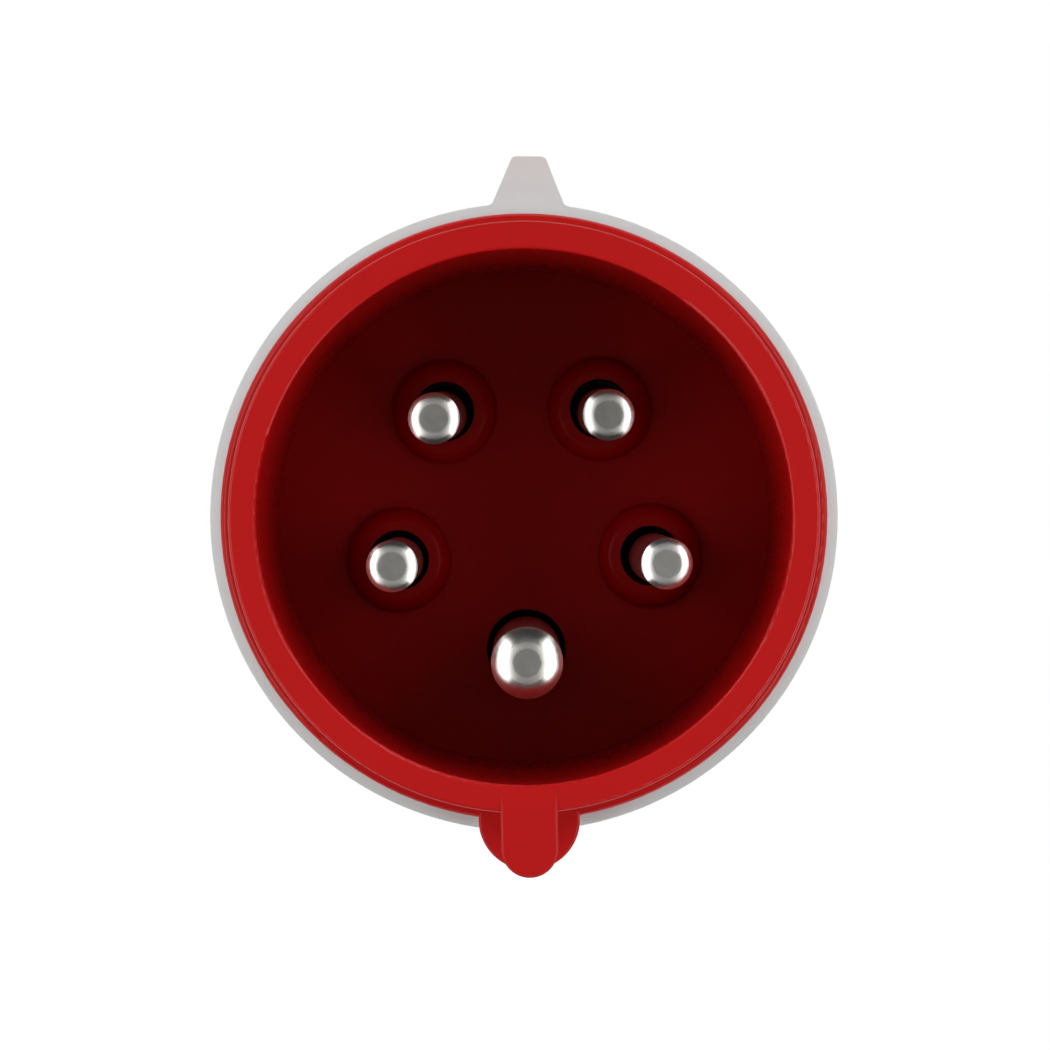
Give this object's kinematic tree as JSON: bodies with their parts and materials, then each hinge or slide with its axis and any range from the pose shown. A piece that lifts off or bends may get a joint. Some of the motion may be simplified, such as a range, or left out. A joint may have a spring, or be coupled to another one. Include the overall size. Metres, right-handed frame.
{
  "type": "industrial pin and sleeve plug",
  "caption": "Industrial pin and sleeve plug with a round keyed collar, round contact pins, a two-piece screwed housing and a cable gland nut.",
  "frame": {"origin": "centre of the cable opening in the gland nut's rear face, on which the plug stands", "axes": "+Z along the plug's axis towards the collar's open rim, -Y towards the key rib and the earth pin, +Y towards the latch nose"},
  "size_m": [0.0664, 0.0751, 0.1363],
  "materials": {
    "red_plastic": "fine-sparked moulded polyamide",
    "grey_plastic": "fine-sparked moulded polyamide",
    "dark_plastic": "moulded glass-filled polyamide",
    "natural_plastic": "unpigmented moulded polyamide",
    "nickel_plated_brass": "turned brass, bright nickel plated",
    "zinc_plated_steel": "bright zinc plated",
    "black_rubber": "moulded rubber"
  },
  "bodies": {
    "housing": {"collar": "red_plastic", "contact_carrier": "dark_plastic", "pin_retainer": "natural_plastic", "carrier_screws": "zinc_plated_steel", "earth_pin": "nickel_plated_brass", "line_pin_1": "nickel_plated_brass", "line_pin_2": "nickel_plated_brass", "line_pin_3": "nickel_plated_brass", "neutral_pin": "nickel_plated_brass", "terminal_screws": "zinc_plated_steel", "earth_terminal_screw": "zinc_plated_steel", "wire_guards": "zinc_plated_steel", "housing_seal": "black_rubber", "handle": "grey_plastic", "housing_screw": "zinc_plated_steel", "housing_screw_washer": "black_rubber", "cable_seal": "black_rubber"},
    "clamp": {"clamp_cage": "natural_plastic", "slip_ring": "zinc_plated_steel"},
    "nut": {"gland_nut": "grey_plastic"}
  },
  "joints": [
    {"name": "clamp_slide", "type": "slide", "parent": "housing", "child": "clamp", "axis": [0, 0, -1], "range_m": [0, 0.009]},
    {"name": "gland_nut_turn", "type": "hinge", "parent": "clamp", "child": "nut", "pos_m": [0, 0, 0.014], "axis": [0, 0, -1], "range_deg": [0, 1080]}
  ],
  "couplings": [
    {"joint": "clamp_slide", "follows": "gland_nut_turn", "m_per_rad": 0.00047746}
  ]
}
